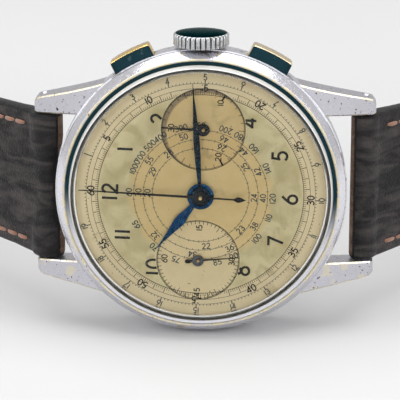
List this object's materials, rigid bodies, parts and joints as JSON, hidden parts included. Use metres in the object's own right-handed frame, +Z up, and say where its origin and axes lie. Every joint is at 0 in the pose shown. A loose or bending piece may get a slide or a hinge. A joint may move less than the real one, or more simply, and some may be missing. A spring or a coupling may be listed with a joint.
{
  "type": "chronograph wristwatch",
  "caption": "Round wristwatch with a two-register stopwatch, rectangular pushers, a fluted crown and an open leather strap with a pin buckle.",
  "frame": {"origin": "centre of the bounding box, on the surface the watch stands on", "axes": "+Z up and close to the 3 o'clock direction, -Y out of the dial, -X towards 12 o'clock"},
  "size_m": [0.1526, 0.092, 0.0384],
  "materials": {
    "satin_steel": "satin, pitted",
    "chrome_plate": "polished, worn at the edges",
    "worn_gilt": "brass showing through worn plating",
    "brass": "gilt",
    "nickel": "nickel-plated brass",
    "blued_steel": "heat-blued, polished",
    "black_steel": "dark oxide",
    "dial_silver": "aged silvered",
    "crystal": "polished acrylic",
    "leather": "pebbled, slightly glossy"
  },
  "bodies": {
    "case": {"midcase": "satin_steel", "bezel": "chrome_plate", "crystal": "crystal", "case_back": "satin_steel", "crown_tube": "worn_gilt", "spring_bar_12": "satin_steel", "spring_bar_6": "satin_steel", "dial": "dial_silver", "movement_ring": "brass", "main_plate": "nickel", "barrel_bridge": "nickel", "train_bridge": "nickel", "balance_cock": "nickel", "barrel_bridge_screw_1": "blued_steel", "barrel_bridge_screw_2": "blued_steel", "train_bridge_screw": "blued_steel", "chronograph_bridge": "nickel"},
    "sliding_pinion": {"sliding_pinion": "satin_steel"},
    "crown": {"crown": "satin_steel", "winding_stem": "satin_steel"},
    "winding_pinion": {"winding_pinion": "satin_steel"},
    "crown_wheel": {"crown_wheel": "satin_steel"},
    "ratchet_wheel": {"ratchet_wheel": "satin_steel"},
    "seconds": {"fourth_wheel": "brass", "driving_wheel": "brass", "small_seconds_hand": "black_steel"},
    "third": {"third_wheel": "brass"},
    "minutes": {"centre_wheel": "brass", "cannon_pinion": "nickel", "minute_hand": "blued_steel"},
    "motion": {"minute_wheel": "brass"},
    "hours": {"hour_wheel": "brass", "hour_hand": "blued_steel"},
    "barrel": {"mainspring_barrel": "brass"},
    "escape": {"escape_wheel": "satin_steel"},
    "pallets": {"pallet_fork": "satin_steel"},
    "balance": {"balance_wheel": "brass", "hairspring": "blued_steel"},
    "chronograph": {"chronograph_runner": "brass", "chronograph_hand": "black_steel"},
    "minute_counter": {"minute_recorder_wheel": "brass", "minute_counter_hand": "black_steel"},
    "coupling_lever": {"coupling_lever": "satin_steel"},
    "coupling_wheel": {"coupling_wheel": "brass"},
    "start_pusher": {"start_pusher": "worn_gilt"},
    "operating_lever": {"operating_lever": "satin_steel"},
    "chronograph_cam": {"chronograph_cam": "satin_steel"},
    "reset_pusher": {"reset_pusher": "worn_gilt"},
    "reset_hammer": {"reset_hammer": "satin_steel"},
    "strap_short": {"strap_short": "leather", "buckle_bar": "satin_steel", "fixed_keeper": "leather"},
    "strap_long": {"strap_long": "leather"},
    "buckle_frame": {"buckle_frame": "satin_steel"},
    "buckle_tongue": {"buckle_tongue": "satin_steel"},
    "sliding_keeper": {"sliding_keeper": "leather"}
  },
  "joints": [
    {"name": "crown_turn", "type": "hinge", "parent": "case", "child": "sliding_pinion", "pos_m": [-0.00875, -0.03838, 0.02764], "axis": [0, 0.1219, 0.9925], "continuous": true},
    {"name": "crown_pull", "type": "slide", "parent": "sliding_pinion", "child": "crown", "axis": [0, 0.1219, 0.9925], "range_m": [0, 0.0008]},
    {"name": "winding_pinion_turn", "type": "hinge", "parent": "case", "child": "winding_pinion", "pos_m": [-0.00875, -0.03824, 0.02883], "axis": [0, 0.1219, 0.9925], "continuous": true},
    {"name": "crown_wheel_turn", "type": "hinge", "parent": "case", "child": "crown_wheel", "pos_m": [-0.01081, -0.03712, 0.02849], "axis": [0, -0.9925, 0.1219], "continuous": true},
    {"name": "ratchet_turn", "type": "hinge", "parent": "case", "child": "ratchet_wheel", "pos_m": [-0.01197, -0.03789, 0.02219], "axis": [0, -0.9925, 0.1219], "continuous": true},
    {"name": "seconds_turn", "type": "hinge", "parent": "case", "child": "seconds", "pos_m": [-0.00908, -0.04369, 0.01026], "axis": [0, 0.9925, -0.1219], "continuous": true},
    {"name": "third_wheel_turn", "type": "hinge", "parent": "case", "child": "third", "pos_m": [-0.00914, -0.04024, 0.01378], "axis": [0, 0.9925, -0.1219], "continuous": true},
    {"name": "minutes_turn", "type": "hinge", "parent": "case", "child": "minutes", "pos_m": [-0.00875, -0.04267, 0.01859], "axis": [0, 0.9925, -0.1219], "continuous": true},
    {"name": "motion_turn", "type": "hinge", "parent": "case", "child": "motion", "pos_m": [-0.00532, -0.04154, 0.01956], "axis": [0, 0.9925, -0.1219], "continuous": true},
    {"name": "hours_turn", "type": "hinge", "parent": "case", "child": "hours", "pos_m": [-0.00875, -0.04267, 0.01859], "axis": [0, 0.9925, -0.1219], "continuous": true},
    {"name": "barrel_turn", "type": "hinge", "parent": "case", "child": "barrel", "pos_m": [-0.01197, -0.03918, 0.02235], "axis": [0, 0.9925, -0.1219], "continuous": true},
    {"name": "escape_turn", "type": "hinge", "parent": "case", "child": "escape", "pos_m": [-0.00533, -0.04061, 0.01074], "axis": [0, 0.9925, -0.1219], "continuous": true},
    {"name": "pallet_swing", "type": "hinge", "parent": "case", "child": "pallets", "pos_m": [-0.00335, -0.04072, 0.01231], "axis": [0, -0.9925, 0.1219], "range_deg": [-6, 6]},
    {"name": "balance_swing", "type": "hinge", "parent": "case", "child": "balance", "pos_m": [-0.0007, -0.03977, 0.01429], "axis": [0, -0.9925, 0.1219], "range_deg": [-270, 270]},
    {"name": "chronograph_turn", "type": "hinge", "parent": "case", "child": "chronograph", "pos_m": [-0.00875, -0.04267, 0.01859], "axis": [0, 0.9925, -0.1219], "continuous": true},
    {"name": "minute_counter_turn", "type": "hinge", "parent": "case", "child": "minute_counter", "pos_m": [-0.00842, -0.04165, 0.02692], "axis": [0, 0.9925, -0.1219], "continuous": true},
    {"name": "start_push", "type": "slide", "parent": "case", "child": "start_pusher", "axis": [0.454, -0.1086, -0.8844], "range_m": [0, 0.001], "stiffness_N_per_m": 1500, "springref_m": -0.0006},
    {"name": "operating_lever_swing", "type": "hinge", "parent": "case", "child": "operating_lever", "pos_m": [-0.01946, -0.03655, 0.02414], "axis": [0, 0.9925, -0.1219], "range_deg": [0, 8.2]},
    {"name": "cam_turn", "type": "hinge", "parent": "case", "child": "chronograph_cam", "pos_m": [-0.01529, -0.03708, 0.01978], "axis": [0, -0.9925, 0.1219], "range_deg": [0, 23]},
    {"name": "coupling_lever_swing", "type": "hinge", "parent": "case", "child": "coupling_lever", "pos_m": [-0.00908, -0.03833, 0.0096], "axis": [0, 0.9925, -0.1219], "range_deg": [0, 4.9]},
    {"name": "coupling_wheel_turn", "type": "hinge", "parent": "coupling_lever", "child": "coupling_wheel", "pos_m": [-0.0099, -0.03836, 0.01345], "axis": [0, 0.9925, -0.1219], "continuous": true},
    {"name": "reset_push", "type": "slide", "parent": "case", "child": "reset_pusher", "axis": [-0.454, -0.1086, -0.8844], "range_m": [0, 0.001], "stiffness_N_per_m": 1500, "springref_m": -0.0006},
    {"name": "reset_hammer_swing", "type": "hinge", "parent": "case", "child": "reset_hammer", "pos_m": [0.00242, -0.03665, 0.02328], "axis": [0, -0.9925, 0.1219], "range_deg": [0, 8.2]},
    {"name": "strap_short_swing", "type": "hinge", "parent": "case", "child": "strap_short", "pos_m": [-0.02825, -0.03731, 0.01794], "axis": [0, 0.1219, 0.9925], "range_deg": [-35, 20]},
    {"name": "strap_long_swing", "type": "hinge", "parent": "case", "child": "strap_long", "pos_m": [0.01165, -0.03731, 0.01794], "axis": [0, -0.1219, -0.9925], "range_deg": [-35, 20]},
    {"name": "buckle_swing", "type": "hinge", "parent": "strap_short", "child": "buckle_frame", "pos_m": [-0.07019, 0.01671, 0.0113], "axis": [0, 0.1219, 0.9925], "range_deg": [-45, 10]},
    {"name": "tongue_swing", "type": "hinge", "parent": "buckle_frame", "child": "buckle_tongue", "pos_m": [-0.07019, 0.01671, 0.0113], "axis": [0, 0.1219, 0.9925], "range_deg": [0, 60]},
    {"name": "keeper_slide", "type": "slide", "parent": "strap_short", "child": "sliding_keeper", "axis": [-0.5817, 0.8073, -0.0991], "range_m": [-0.0015, 0.004]}
  ],
  "couplings": [
    {"joint": "winding_pinion_turn", "follows": "crown_turn", "ratio": 1},
    {"joint": "crown_wheel_turn", "follows": "crown_turn", "ratio": 0.83333},
    {"joint": "ratchet_turn", "follows": "crown_turn", "ratio": -0.35714},
    {"joint": "third_wheel_turn", "follows": "seconds_turn", "ratio": -0.13333},
    {"joint": "minutes_turn", "follows": "seconds_turn", "ratio": 0.016667},
    {"joint": "motion_turn", "follows": "seconds_turn", "ratio": -0.0055556},
    {"joint": "hours_turn", "follows": "seconds_turn", "ratio": 0.0013889},
    {"joint": "barrel_turn", "follows": "seconds_turn", "ratio": -0.0027778},
    {"joint": "escape_turn", "follows": "seconds_turn", "ratio": -10},
    {"joint": "coupling_wheel_turn", "follows": "seconds_turn", "ratio": -2},
    {"joint": "minute_counter_turn", "follows": "chronograph_turn", "ratio": 0.033333},
    {"joint": "operating_lever_swing", "follows": "start_push", "rad_per_m": 140.5},
    {"joint": "cam_turn", "follows": "start_push", "rad_per_m": 392.7},
    {"joint": "coupling_lever_swing", "follows": "start_push", "rad_per_m": 83.776},
    {"joint": "reset_hammer_swing", "follows": "reset_push", "rad_per_m": 140.5}
  ]
}
